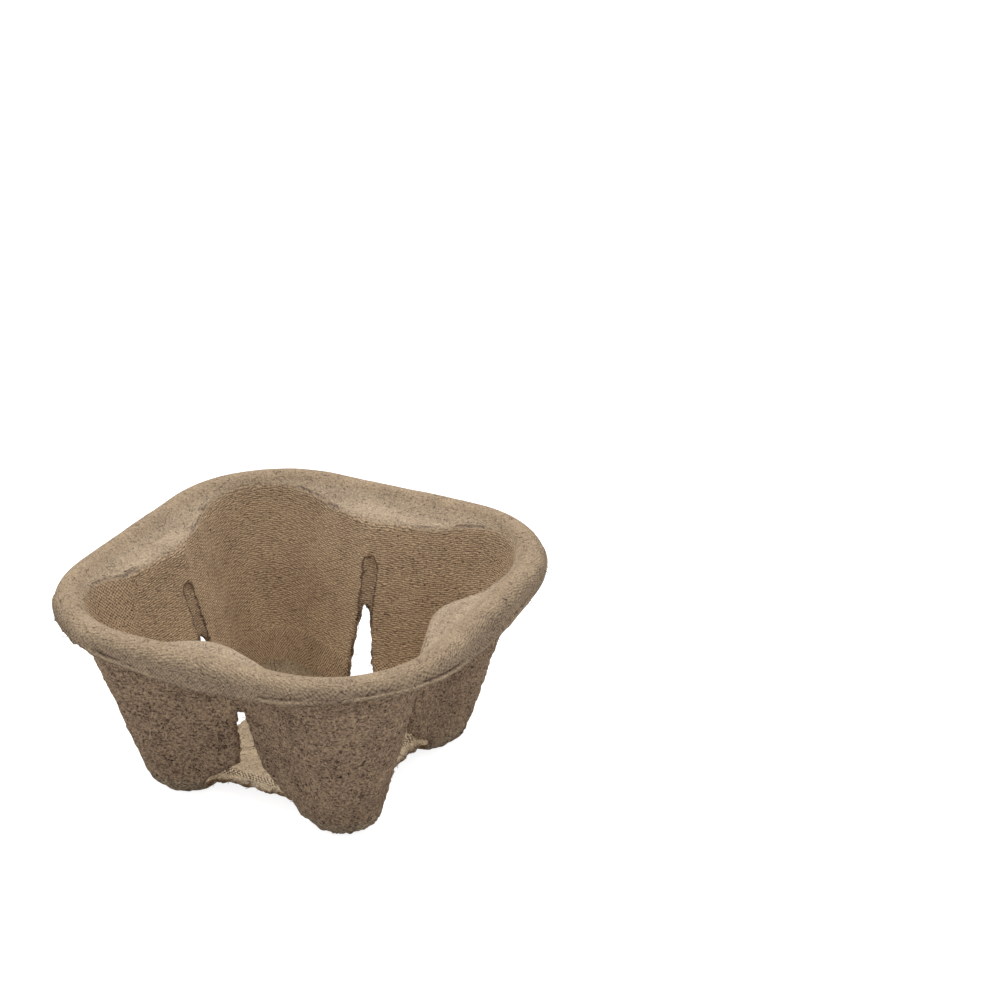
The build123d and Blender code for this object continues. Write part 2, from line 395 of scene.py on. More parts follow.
# lengths along the sheet, for its marks and its edges: round it, up it from the mouth of the cup
# well, over the bead from its crest, and up from the torn lip
mouth_row, girth_row = wall_rows + 5, wall_rows - 22
up_sheet = np.cumsum(np.linalg.norm(np.diff(grid, axis=0), axis=2), axis=0)
up_sheet = np.vstack([np.zeros(columns), up_sheet])
step_round = np.linalg.norm(np.roll(grid[girth_row], -1, 0) - grid[girth_row], axis=1)
girth = step_round.sum()
round_sheet = np.concatenate([[0], np.cumsum(step_round)[:-1]])
marks = np.stack([np.broadcast_to(round_sheet, up_sheet.shape), up_sheet - up_sheet[mouth_row],
                  up_sheet - up_sheet[crest_row], up_sheet[lip_row] - up_sheet], -1).reshape(-1, 4)
far_from_all = (0.0, -80.0, -100.0, 100.0)    # the same four lengths for the floor's patch
verts = grid.reshape(-1, 3)


def at(j, i):
    return j * columns + i % columns


# faces of the sheet, with half as many columns inside the first ring
faces = []
for j in range(1, lip_row):
    for i in range(columns):
        faces.append((at(j, i), at(j + 1, i), at(j + 1, i + 1), at(j, i + 1)))
for i in range(0, columns, 2):
    a, b, c, d, e = at(0, i), at(0, i + 2), at(1, i), at(1, i + 1), at(1, i + 2)
    faces += [(a, c, d), (a, d, b), (b, d, e)]

# the square patch in the middle of the floor, whose first corner is near a lobe's diagonal
patch_side = side_columns // 2
first = dip_columns + flank_columns + lobe_columns // 2 + 1
ring_ids = [at(0, first + 2 * k) for k in range(4 * patch_side)]
patch = np.zeros((patch_side + 1, patch_side + 1), int)
patch[0, :], patch[:, patch_side] = ring_ids[:patch_side + 1], ring_ids[patch_side:2 * patch_side + 1]
patch[patch_side, :] = ring_ids[2 * patch_side:3 * patch_side + 1][::-1]
patch[:, 0] = (ring_ids[3 * patch_side:] + ring_ids[:1])[::-1]
corner = verts[[patch[0, 0], patch[0, patch_side], patch[patch_side, 0], patch[patch_side, patch_side]]]
floor_points = []
for v in range(1, patch_side):
    for u in range(1, patch_side):
        s, t = u / patch_side, v / patch_side
        p = ((1 - t) * verts[patch[0, u]] + t * verts[patch[patch_side, u]]
             + (1 - s) * verts[patch[v, 0]] + s * verts[patch[v, patch_side]]
             - (1 - s) * (1 - t) * corner[0] - s * (1 - t) * corner[1]
             - (1 - s) * t * corner[2] - s * t * corner[3])
        patch[v, u] = len(verts) + len(floor_points)
        floor_points.append((p[0], p[1], vault_level(p[0], p[1])))
verts = np.vstack([verts, np.array(floor_points)])
marks = np.vstack([marks, np.tile(far_from_all, (len(floor_points), 1))])
for v in range(patch_side):
    for u in range(patch_side):
        faces.append((patch[v, u], patch[v, u + 1], patch[v + 1, u + 1], patch[v + 1, u]))


def noise_at(points, size, seed=0.0):
    offset = Vector((seed * 17.3, seed * 5.1, seed * 9.7))
    return np.array([noise.noise(Vector(p) / size + offset) for p in points])


# The four T-shaped openings are torn rather than cut, each in its own way: height of the slit's
# tip, its slant and half its width, how far the T stands to one side and its shoulders are raised,
# and centre to the torn edge of the floor. They come in the order +X, +Y, -X, -Y.
openings = (
    dict(tip=29.0, slant=0.0, tip_width=1.2, aside=-2.0, lift=2.0, floor_edge=28.0),
    dict(tip=32.7, slant=0.3, tip_width=1.0, aside=0.0, lift=-2.5, floor_edge=25.0),
    dict(tip=30.8, slant=-0.3, tip_width=1.0, aside=0.0, lift=0.0, floor_edge=22.8),
    dict(tip=33.2, slant=0.8, tip_width=1.8, aside=0.0, lift=1.3, floor_edge=27.7))
side_inner, side_outer, side_reach, side_top = 20, 50, 25, 52     # the part of a side that holds one
floor_dip, floor_blend, floor_limit = 1.45, 3, 16     # fall for each mm out, and up to what height
fine_tear, coarse_tear = (0.5, 1.5), (0.55, 4.5)      # depth and size of the torn edge's teeth
slit_foot, slit_calm, slit_smoothing = 14, 20, 0.55   # the slits tore straighter than the feet
slot_width, slot_spread, slot_top = 2.0, 1.7, 44.6    # half the slot's width, and how it widens below
slot_foot, slot_narrow, slot_inner, slot_drift = 8, 30, 26, (0.5, 1.7)


def tee_distance(s, z, opening):
    """Distance to the outline of a T seen square on, negative inside it."""
    tip, slant, tip_width, lift = (opening[name] for name in ("tip", "slant", "tip_width", "lift"))
    half = [(15.8, -4), (15.8, 3.2 + lift), (13.0, 6.4 + lift), (9.0, 9.4 + lift), (5.6, 11.6 + lift),
            (4.2, 13.5 + lift), (3.2, 20), (2.5, 26)]
    other_half = [(-x, y) for x, y in reversed(half)]
    corners = np.array(half + [(tip_width, tip + slant), (-tip_width, tip - slant)] + other_half, float)
    best = np.full(s.shape, 1e9)
    inside = np.zeros(s.shape, bool)
    for (x1, y1), (x2, y2) in zip(corners, np.roll(corners, -1, 0)):
        ex, ey = x2 - x1, y2 - y1
        t = np.clip(((s - x1) * ex + (z - y1) * ey) / (ex * ex + ey * ey), 0, 1)
        best = np.minimum(best, np.hypot(s - x1 - t * ex, z - y1 - t * ey))
        crosses = (y1 > z) != (y2 > z)
        inside ^= crosses & (s < (x2 - x1) * (z - y1) / np.where(ey == 0, 1, ey) + x1)
    return np.where(inside, -best, best)


far_off = 50.0
open_by = np.full(len(verts), far_off)        # distance outside the openings, negative where torn away
groove_by = np.full(len(verts), far_off)      # distance outside the pressed slot round each slit
for side, opening in enumerate(openings):
    a = side * math.pi / 2
    out = verts[:, 0] * math.cos(a) + verts[:, 1] * math.sin(a)
    s = -verts[:, 0] * math.sin(a) + verts[:, 1] * math.cos(a)
    near = (out > side_inner) & (out < side_outer) & (np.abs(s) < side_reach) & (verts[:, 2] < side_top)
    z = verts[near, 2]
    tee = tee_distance(s[near] - opening["aside"], z, opening)
    # the floor's torn edge was never turned up into the wall: it runs on outwards and dips a little
    turned_up = np.maximum(z - vault_height, 0) * step(tee, 0, -floor_blend) * (z < floor_limit)
    verts[near, 0] += math.cos(a) * turned_up
    verts[near, 1] += math.sin(a) * turned_up
    verts[near, 2] -= floor_dip * turned_up
    z = verts[near, 2]
    torn = np.maximum(tee, opening["floor_edge"] - (out[near] + turned_up))
    ragged = 1 - slit_smoothing * step(z, slit_foot, slit_calm)
    torn += ragged * (fine_tear[0] * noise_at(verts[near], fine_tear[1], side)
                      + coarse_tear[0] * noise_at(verts[near], coarse_tear[1], side + 7))
    open_by[near] = np.minimum(open_by[near], torn)
    half_slot = slot_width + slot_spread * (1 - step(z, slot_foot, slot_narrow))
    slot = np.hypot(s[near], np.maximum(z - slot_top, 0)) - half_slot
    slot = np.where(out[near] > slot_inner, slot, far_off)
    slot += slot_drift[0] * noise_at(verts[near], slot_drift[1], side + 30)
    groove_by[near] = np.minimum(groove_by[near], slot)
marks = np.column_stack([marks, groove_by])

# vertices next to an outline are snapped onto it, and the faces that still cross it are clipped
snap_share = 0.3
edges = {(min(a, b), max(a, b)) for face in faces for a, b in zip(face, face[1:] + face[:1])}
edges = np.array(sorted(edges))
cross =np.where((open_by[edges[:, 0]] > 0) != (open_by[edges[:, 1]] > 0))[0]
moved = {}
for a, b in edges[cross]:
    t = open_by[a] / (open_by[a] - open_by[b])
    for p, q, part in ((a, b, t), (b, a, 1 - t)):
        if part < snap_share and (p not in moved or moved[p][1] > part):
            moved[p] = (verts[p] * (1 - part) + verts[q] * part, part)
for p, (spot, _) in moved.items():
    verts[p] = spot
    open_by[p] = 0.0
cuts, kept, new_points, new_marks = {}, [], [], []


def cut_between(a, b):
    """Index of the point where the outline crosses an edge, made when it is first asked for."""
    key = (min(a, b), max(a, b))
    if key not in cuts:
        t = open_by[a] / (open_by[a] - open_by[b])
        cuts[key] = len(verts) + len(new_points)
        new_points.append(verts[a] + (verts[b] - verts[a]) * t)
        ma, mb = marks[a].copy(), marks[b].copy()
        if abs(ma[0] - mb[0]) > girth / 2:
            ma[0] += girth * (ma[0] < girth / 2)
            mb[0] += girth * (mb[0] < girth / 2)
        new_marks.append(ma + (mb - ma) * t)
    return cuts[key]


for face in faces:
    values = open_by[list(face)]
    if (values > 0).any() and (values >= 0).all():
        kept.append(face)
    elif (values > 0).any():
        clipped = []
        for a, b in zip(face, face[1:] + face[:1]):
            if open_by[a] >= 0:
                clipped.append(a)
            if open_by[a] * open_by[b] < 0:
                clipped.append(cut_between(a, b))
        if len(clipped) > 2:
            kept.append(tuple(clipped))
verts = np.vstack([verts, np.array(new_points)])
open_by = np.concatenate([open_by, np.zeros(len(new_points))])
round_mm, from_mouth, from_crest, from_lip, from_slot = np.vstack([marks, np.array(new_marks)]).T
from_crease = np.abs(np.abs(verts[:, 0]) - np.abs(verts[:, 1]))

# directions of the sheet, and its free edges
normal = np.zeros_like(verts)
for face in kept:
    p = verts[list(face)]
    n = np.zeros(3)
    for k in range(1, len(p) - 1):
        n += np.cross(p[k] - p[0], p[k + 1] - p[0])
    normal[list(face)] += n
normal /= np.maximum(np.linalg.norm(normal, axis=1), 1e-9)[:, None]
directed = {(a, b) for face in kept for a, b in zip(face, face[1:] + face[:1])}
free = sorted((a, b) for a, b in directed if (b, a) not in directed)
edge_out = np.zeros_like(verts)
for a, b in free:
    along = verts[b] - verts[a]
    for p in (a, b):
        edge_out[p] += np.cross(along, normal[p])
size = np.linalg.norm(edge_out, axis=1)
on_edge = size > 0
edge_out[on_edge] /= size[on_edge][:, None]

# the two faces: thinner towards a torn edge, the slots pressed into the cup side, the lip's
# feathered strip under its crack, and the felted lumps and folds of the back
slot_depth, strip_height, crack_depth, crease_depth, fold_height = 0.8, 0.45, 0.45, 0.12, 0.5
cup_lumps, cup_felt, slot_roughness = 0.10, 0.05, 0.3
back_lumps, back_felt, back_grain = 0.25, 0.28, 0.22
edge_overhang, edge_grain, edge_felt = 0.35, 0.6, 0.5
thinning, swelling = 1.1, 0.25                # reach of a torn edge's thinning; slow waves of the sheet
lumps, swell = noise_at(verts, 9.0, 1), noise_at(verts, 22.0, 5)
felt, grain = noise_at(verts, 2.4, 2), noise_at(verts, 1.3, 3)
rise = verts[:, 2]
slanting = np.stack([verts[:, 0] + rise * 0.6, verts[:, 1] + rise * 0.6, rise * 0.35], -1)
folds = np.clip(1 - np.abs(noise_at(slanting, 3.2, 11)) * 3.2, 0, 1)      # sharp-topped, across the walls
lip_gap = np.maximum(from_lip, 0)
from_edge = np.minimum(open_by, lip_gap)
fade = np.clip(from_edge / thinning, 0, 1)
thickness = half_wall * (0.5 + 0.5 * np.sqrt(1 - (1 - fade) ** 2))
feathered = ease(0.75 + 3.0 * noise_at(verts, 13.0, 9))
raised_strip_and_highlight = near_to(lip_gap, 0.55, 0.8) * feathered
# the groove over the lip: pressed into the cup side, and darkened there with painted shade
lip_groove_and_shade = near_to(lip_gap, 1.5, 0.5) * feathered * ease(0.6 + 2.5 * felt)
groove = np.concatenate([ease(0.2 - groove_by / 0.7), np.zeros(len(new_points))])
crease = near_to(from_crease, 0, 0.9) * (rise > 2.5) * (rise < 8)      # on the vault, not the feet
cup_push = (thickness + cup_lumps * lumps + cup_felt * felt
            - (slot_depth + slot_roughness * felt + slot_roughness * grain) * groove
            + strip_height * raised_strip_and_highlight - crack_depth * lip_groove_and_shade - crease_depth * crease)
back_push = (thickness + back_lumps * lumps + back_felt * felt + back_grain * grain
             + fold_height * step(rise, 48, 40) * folds)
shift = swelling * swell * step(from_lip, 0, 8) * step(rise, 0, 10)
middle = verts + normal * shift[:, None]
cup_side = middle + normal * cup_push[:, None]
back_side = middle - normal * back_push[:, None]
rim_line = middle + edge_out * (edge_overhang + edge_grain * grain + edge_felt * felt)[:, None]

# the closed skin: cup side, back, and two strips of faces round every free edge
keep = np.zeros(len(verts), bool)
for face in kept:
    keep[list(face)] = True
index = np.cumsum(keep) - 1
count = int(keep.sum())
edge_ids = np.where(on_edge & keep)[0]
edge_index = {p: 2 * count + k for k, p in enumerate(edge_ids)}
points = np.vstack([cup_side[keep], back_side[keep], rim_line[edge_ids]])
source = np.concatenate([np.where(keep)[0], np.where(keep)[0], edge_ids])
polygons = [tuple(int(index[p]) for p in face) for face in kept]
polygons += [tuple(int(index[p]) + count for p in reversed(face)) for face in kept]
for a, b in free:
    ca, cb, ba, bb = int(index[a]), int(index[b]), int(index[a]) + count, int(index[b]) + count
    polygons += [(cb, ca, edge_index[a], edge_index[b]), (edge_index[b], edge_index[a], ba, bb)]
points[:, :2] = np.clip(points[:, :2], -half_side, half_side)
points[:, 2] = np.clip(points[:, 2], 0, top_level)

sheet_mesh = bpy.data.meshes.new("pressed_pulp_carrier")
sheet_mesh.from_pydata((points * mm).tolist(), [], polygons)
sheet_mesh.polygons.foreach_set("use_smooth", [True] * len(polygons))
side_of_face = [0] * len(kept) + [1] * len(kept) + [2] * (len(polygons) - 2 * len(kept))
sheet_mesh.polygons.foreach_set("material_index", side_of_face)
for name, lengths in (("from_mouth", from_mouth), ("from_crest", from_crest), ("from_lip", from_lip),
                      ("from_slot", from_slot), ("from_edge", from_edge), ("lip_groove_and_shade", lip_groove_and_shade),
                      ("from_crease", from_crease), ("raised_strip_and_highlight", raised_strip_and_highlight)):
    attribute = sheet_mesh.attributes.new(name, "FLOAT", "POINT")
    attribute.data.foreach_set("value", lengths[source])

# millimetres round the sheet and up it, and straight across on the floor
floor_below, floor_top, floor_reach = -62.0, 6.0, 33.0
sheet_mm = sheet_mesh.uv_layers.new(name="sheet_mm")
corner_mm = []
for polygon in polygons:
    ids = source[list(polygon)]
    low = (verts[ids, 2] < floor_top).all() and (np.hypot(verts[ids, 0], verts[ids, 1]) < floor_reach).all()
    if low or (from_mouth[ids] < floor_below).all():
        corner_mm.append(verts[ids, :2])
        continue
    across = round_mm[ids]
    if across.max() - across.min() > girth / 2:
        across = np.where(across < girth / 2, across + girth, across)
    corner_mm.append(np.stack([across, from_mouth[ids]], -1))
sheet_mm.data.foreach_set("uv", np.concatenate(corner_mm).ravel())
carrier = bpy.data.objects.new("pressed_pulp_carrier", sheet_mesh)
scene.collection.objects.link(carrier)


# The pulp's finish is made of effects that its three materials share, each a node group
def group(name, inputs, outputs):
    """A node group with its inputs and their kinds and plain values, and its output masks."""
    tree = bpy.data.node_groups.new(name, "ShaderNodeTree")
    for label, value in inputs:
        kind = "NodeSocketFloat" if isinstance(value, float) else "NodeSocketVector"
        tree.interface.new_socket(label, in_out="INPUT", socket_type=kind).default_value = value
    for label in outputs:
        tree.interface.new_socket(label, in_out="OUTPUT", socket_type="NodeSocketFloat")
    return tree, tree.nodes.new("NodeGroupInput").outputs, tree.nodes.new("NodeGroupOutput").inputs


def times(tree, *values):
    product = values[0]
    for value in values[1:]:
        product = calc(tree, "MULTIPLY", product, value)
    return product


def wave_of(tree, value, turns):
    """Cosine of a value, with so many half turns to each one of it."""
    return calc(tree, "COSINE", calc(tree, "MULTIPLY", value, turns * math.pi))


def ramp(tree, value, low, high, to_low=0.0, to_high=1.0):
    node = tree.nodes.new("ShaderNodeMapRange")
    node.interpolation_type = "SMOOTHSTEP"
    for label, number in (("Value", value), ("From Min", low), ("From Max", high),
                          ("To Min", to_low), ("To Max", to_high)):
        feed(tree, node.inputs[label], number)
    return node.outputs["Result"]


def grain_of(tree, place, scale, detail=2.0, stretch=None, rough=0.55):
    """Cloudy pattern in space, which can be stretched along an axis."""
    if stretch:
        scaled = tree.nodes.new("ShaderNodeVectorMath")
        scaled.operation = "MULTIPLY"
        feed(tree, scaled.inputs[0], place)
        scaled.inputs[1].default_value = stretch
        place = scaled.outputs[0]
    node = tree.nodes.new("ShaderNodeTexNoise")
    feed(tree, node.inputs["Vector"], place)
    feed(tree, node.inputs["Scale"], scale)
    node.inputs["Detail"].default_value = detail
    node.inputs["Roughness"].default_value = rough
    return node.outputs["Fac"]


# marks of the woven forming wire: fine lines round the sheet with dashes between them, which give
# way to an even plait where the wire lay the other way
wire, given, result = group(
    "forming_wire_marks",
    (("Round", 0.0), ("Up", 0.0), ("Wave", 0.0), ("Pitch", 0.635), ("Stitch", 1.3), ("Plaited", 0.0)),
    ("Height",))
up_mm = calc(wire, "ADD", given["Up"], given["Wave"])
across_mm = calc(wire, "ADD", given["Round"], given["Wave"])
line = calc(wire, "DIVIDE", up_mm, given["Pitch"])
round_by = calc(wire, "DIVIDE", across_mm, given["Pitch"])
stitch = calc(wire, "DIVIDE", across_mm, given["Stitch"])
dashes = times(wire, wave_of(wire, line, 1.0), wave_of(wire, stitch, 1.0))
woven = calc(wire, "ADD", times(wire, wave_of(wire, line, 2.0), 0.32), times(wire, dashes, 0.18))
plait = times(wire, wave_of(wire, line, 1.2), wave_of(wire, round_by, 1.2))
mixed = calc(wire, "ADD", times(wire, woven, calc(wire, "SUBTRACT", 1.0, given["Plaited"])),
             times(wire, plait, times(wire, given["Plaited"], 0.5)))
feed(wire, result["Height"], calc(wire, "ADD", mixed, 0.5))

# felted fibre: slow clouds of colour, light and dark flecks, and dark strokes that lie level
felted, given, result = group(
    "felted_fibre",
    (("Place", (0, 0, 0)), ("Cloud", 0.3), ("Fleck", 0.5), ("Strokes", 0.3), ("Fineness", 1.9)),
    ("Tone", "Height"))
cloud = calc(felted, "SUBTRACT", grain_of(felted, given["Place"], 0.11), 0.5)
fleck = calc(felted, "SUBTRACT", grain_of(felted, given["Place"], given["Fineness"], rough=0.8), 0.5)
stroke = grain_of(felted, given["Place"], 0.8, stretch=(1.0, 1.0, 2.2), rough=0.65)
stroke = ramp(felted, stroke, 0.55, 0.70)
tone = calc(felted, "ADD", times(felted, cloud, given["Cloud"]), times(felted, fleck, given["Fleck"]))
tone = calc(felted, "SUBTRACT", tone, times(felted, stroke, given["Strokes"]))
feed(felted, result["Tone"], calc(felted, "ADD", tone, 1.0))
feed(felted, result["Height"], calc(felted, "SUBTRACT", fleck, times(felted, stroke, 0.5)))

# dark lines at a distance from an edge or a crease, wandering and broken: painted shade in creases and
# along slot edges, and a darker band along torn edges
dark_line_group, given, result = group(
    "crease_shade_and_edge_lines",
    (("From", 10.0), ("Width", 0.3), ("Centre", 0.0), ("Drift", 0.5), ("Breaks", 0.5), ("Broken", 0.5)),
    ("Mask",))
drift = times(dark_line_group, calc(dark_line_group, "SUBTRACT", given["Drift"], 0.5), times(dark_line_group, given["Width"], 3.0))
away = calc(dark_line_group, "ADD", calc(dark_line_group, "SUBTRACT", given["From"], given["Centre"]), drift)
away = calc(dark_line_group, "ABSOLUTE", away)
inside = calc(dark_line_group, "SUBTRACT", 1.0, calc(dark_line_group, "DIVIDE", away, given["Width"], clamp=True), clamp=True)
unbroken = ramp(dark_line_group, given["Breaks"], calc(dark_line_group, "SUBTRACT", given["Broken"], 0.08),
                calc(dark_line_group, "ADD", given["Broken"], 0.04))
feed(dark_line_group, result["Mask"], times(dark_line_group, ramp(dark_line_group, inside, 0.0, 0.8), unbroken))

# hairline cracks: they follow the level lines of a slow pattern, in some places only
cracked, given, result = group(
    "hairline_cracks",
    (("Pattern", 0.5), ("Breaks", 0.5), ("Edge", 0.01), ("Core", 0.002), ("Sparse", 0.5), ("Full", 0.56)),
    ("Mask",))
off_line = calc(cracked, "ABSOLUTE", calc(cracked, "SUBTRACT", given["Pattern"], 0.5))
feed(cracked, result["Mask"], times(cracked, ramp(cracked, off_line, given["Edge"], given["Core"]),
                                    ramp(cracked, given["Breaks"], given["Sparse"], given["Full"])))


def use(tree, group_tree, **values):
    node = tree.nodes.new("ShaderNodeGroup")
    node.node_tree = group_tree
    for label, value in values.items():
        feed(tree, node.inputs[label], value)
    return node.outputs


def mark(tree, name):
    """One of the lengths that the sheet's mesh carries."""
    node = tree.nodes.new("ShaderNodeAttribute")
    node.attribute_name = name
    return node.outputs["Fac"]


def blend(tree, mask, low, high):
    node = tree.nodes.new("ShaderNodeMix")
    node.data_type = "RGBA"
    feed(tree, node.inputs["Factor"], mask)
    feed(tree, node.inputs[6], low)
    feed(tree, node.inputs[7], high)
    return node.outputs[2]


def darken(tree, tone, *pairs):
    for mask, depth in pairs:
        tone = times(tree, tone, calc(tree, "SUBTRACT", 1.0, times(tree, mask, depth)))
    return tone


def wandering(tree, place):
    """What makes a dark line wander to and fro and break up along its way."""
    return dict(Drift=grain_of(tree, place, 0.75), Breaks=grain_of(tree, place, 0.3))


def begin(name):
    """Matt pulp, with its places in millimetres."""
    material = bpy.data.materials.new(name)
    material.use_nodes = True
    tree = material.node_tree
    shader = tree.nodes["Principled BSDF"]
    shader.inputs["Roughness"].default_value = 0.95
    shader.inputs["Specular IOR Level"].default_value = 0.12
    where = tree.nodes.new("ShaderNodeTexCoord")
    in_mm = tree.nodes.new("ShaderNodeVectorMath")
    in_mm.operation = "SCALE"
    in_mm.inputs["Scale"].default_value = 1000.0
    tree.links.new(where.outputs["Object"], in_mm.inputs[0])
    apart = tree.nodes.new("ShaderNodeSeparateXYZ")
    tree.links.new(in_mm.outputs[0], apart.inputs[0])
    return material, tree, shader, in_mm.outputs[0], apart.outputs


def finish(tree, shader, colour, tone, height, depth):
    """Colour times tone, a little yellower where light and purpler where dark, with its bumps."""
    tint = tree.nodes.new("ShaderNodeCombineXYZ")
    for socket, power in zip(tint.inputs, (1.0, 1.05, 0.98)):
        feed(tree, socket, calc(tree, "POWER", calc(tree, "MAXIMUM", tone, 0.05), power))
    tinted = tree.nodes.new("ShaderNodeVectorMath")
    tinted.operation = "MULTIPLY"
    feed(tree, tinted.inputs[0], colour)
    feed(tree, tinted.inputs[1], tint.outputs[0])
    tree.links.new(tinted.outputs[0], shader.inputs["Base Color"])
    bump = tree.nodes.new("ShaderNodeBump")
    bump.inputs["Distance"].default_value = depth * mm
    feed(tree, bump.inputs["Height"], height)
    tree.links.new(bump.outputs["Normal"], shader.inputs["Normal"])


# Cup side: it lay on the forming wire, so it is smooth and wire-marked. The rim and the floor were
# pressed hard and are lighter. The walls get the lightest brown of all, painted light for the light
# that falls on the inside walls. Painted shade darkens its creases, slots and the groove over the lip,
# and its torn edges are darker.
# the walls' brown is lighter than the pads' and the floor's: painted light on the inside walls
painted_light_wall_brown, pad_tan = (0.475, 0.345, 0.225, 1), (0.43, 0.33, 0.23, 1)
bead_tan, floor_tan = (0.37, 0.275, 0.185, 1), (0.44, 0.345, 0.235, 1)
band_middle, pocket_slope = 25.2, 3.0         # centre to the plaited band on the floor
cup_pulp, tree, shader, place, spot = begin("pulp_wire_side")
wander = wandering(tree, place)
uv =tree.nodes.new("ShaderNodeUVMap")
uv.uv_map = "sheet_mm"
sheet_place = tree.nodes.new("ShaderNodeSeparateXYZ")
tree.links.new(uv.outputs["UV"], sheet_place.inputs[0])
mouth, crest, slot_by = mark(tree, "from_mouth"), mark(tree, "from_crest"), mark(tree, "from_slot")

far_x, far_y = calc(tree, "ABSOLUTE", spot["X"]), calc(tree, "ABSOLUTE", spot["Y"])
off_axis = calc(tree, "MINIMUM", far_x, far_y)        # how far from the middle of a side
off_middle = calc(tree, "MAXIMUM", far_x, far_y)
on_flank = times(tree, ramp(tree, off_axis, 10.0, 15.0), ramp(tree, off_axis, 33.0, 29.0))
on_wall = ramp(tree, mouth, -1.2, 0.6, 1.0, 0.0)
on_bead = ramp(tree, crest, -4.5, -2.0)
# the bead's outer face is painted darker: painted shade where it turns down, away from the light
outer_face_shade = ramp(tree, crest, 1.5, 5.5)
on_floor = ramp(tree, spot["Z"], 7.8, 6.4)
off_floor = ramp(tree, on_floor, 0.0, 1.0, 1.0, 0.15)
near_lip = ramp(tree, mark(tree, "from_lip"), 4.4, 3.2)
pocket_line = calc(tree, "ADD", spot["Z"], times(tree, wander["Drift"], pocket_slope))
in_pocket = times(tree, ramp(tree, pocket_line, 18.6, 17.9), on_wall)
left_lobe = times(tree, ramp(tree, calc(tree, "ADD", spot["X"], spot["Y"]), -58.0, -66.0), on_wall)
off_band = calc(tree, "ABSOLUTE", calc(tree, "SUBTRACT", off_middle, band_middle))
band = times(tree, ramp(tree, off_band, 1.3, 0.9), on_floor)

plaited = calc(tree, "MAXIMUM", calc(tree, "MAXIMUM", in_pocket, left_lobe),
               calc(tree, "MAXIMUM", near_lip, band))
wave =calc(tree, "ADD", times(tree, wander["Drift"], 0.55), times(tree, wander["Breaks"], 1.4))
wire_height = use(tree, wire, Round=sheet_place.outputs["X"], Up=sheet_place.outputs["Y"], Wave=wave,
                  Plaited=plaited)["Height"]
wire_share = calc(tree, "MAXIMUM", times(tree, on_wall, off_floor),
                  calc(tree, "MAXIMUM", times(tree, ramp(tree, crest, 0.3, 2.5), 0.5), band))
fibre = use(tree, felted, Place=place, Cloud=0.5, Fleck=2.0, Strokes=0.3)
edge_by, crease_by = mark(tree, "from_edge"), mark(tree, "from_crease")
# dark double line where a wall turns into its pad: painted shade in the crease
mouth_crease_and_shade = use(tree, dark_line_group, From=mouth, Width=0.42, Centre=0.3, Broken=0.47, **wander)["Mask"]
mouth_crease_and_shade = times(tree, mouth_crease_and_shade, on_flank)
pad_crease_shade = use(tree, dark_line_group, From=mouth, Width=0.3, Centre=1.3, Broken=0.52, **wander)["Mask"]
pad_crease_shade = times(tree, pad_crease_shade, on_flank)
# dark line along the edge of each pressed slot: painted shadow of the slot's step
slot_edge_and_shadow = use(tree, dark_line_group, From=slot_by, Width=0.5, Centre=0.1, Broken=0.38, **wander)["Mask"]
edge_dark = use(tree, dark_line_group, From=edge_by, Width=0.8, Centre=0.1, Broken=0.45, **wander)["Mask"]
# dark line along each diagonal fold of the floor: painted shade in the fold
floor_fold_and_shade = use(tree, dark_line_group, From=crease_by, Width=0.3, Centre=0.9, Broken=0.3, **wander)["Mask"]
floor_fold_and_shade = times(tree, floor_fold_and_shade, on_floor)
cracks = use(tree, cracked, Pattern=grain_of(tree, place, 0.14, stretch=(1.0, 1.0, 2.5)),
             Breaks=wander["Breaks"], Edge=0.010, Core=0.002, Sparse=0.56, Full=0.6)["Mask"]
pocket_rim = times(tree, in_pocket, calc(tree, "SUBTRACT", 1.0, in_pocket), 3.0)

colour = blend(tree, on_wall, pad_tan, painted_light_wall_brown)
colour = blend(tree, on_bead, colour, bead_tan)
colour = blend(tree, on_floor, colour, floor_tan)
wire_tone = times(tree, calc(tree, "SUBTRACT", wire_height, 0.5), wire_share, 1.25)
tone = calc(tree, "ADD", calc(tree, "ADD", fibre["Tone"], wire_tone), times(tree, pocket_rim, 0.35))
# the raised strip under the lip's groove is painted lighter: a painted highlight on the fold
tone = calc(tree, "ADD", tone, times(tree, mark(tree, "raised_strip_and_highlight"), 0.42))
band_gaps = times(tree, band, ramp(tree, wire_height, 0.62, 0.4))
# Painted shade darkens the creases, the floor's folds, the insides of the slots, the groove over the lip and
# the bead's outer face, and a painted shadow runs along the slot edges. Torn edges, hairline cracks and the
# plait's gaps are darker too.
tone = darken(tree, tone, (mouth_crease_and_shade, 0.45), (pad_crease_shade, 0.25), (slot_edge_and_shadow, 0.6),
              (ramp(tree, slot_by, 0.2, -0.5), 0.2), (edge_dark, 0.25), (floor_fold_and_shade, 0.5),
              (mark(tree, "lip_groove_and_shade"), 0.6), (outer_face_shade, 0.15), (cracks, 0.5), (band_gaps, 0.5))
height = calc(tree, "ADD", times(tree, wire_height, wire_share, 0.07), times(tree, fibre["Height"], 0.28))
for mask, depth in ((mouth_crease_and_shade, 0.12), (slot_edge_and_shadow, 0.15), (floor_fold_and_shade, 0.1), (cracks, 0.12)):
    height = calc(tree, "SUBTRACT", height, times(tree, mask, depth))
finish(tree, shader, colour, tone, height, 1.0)

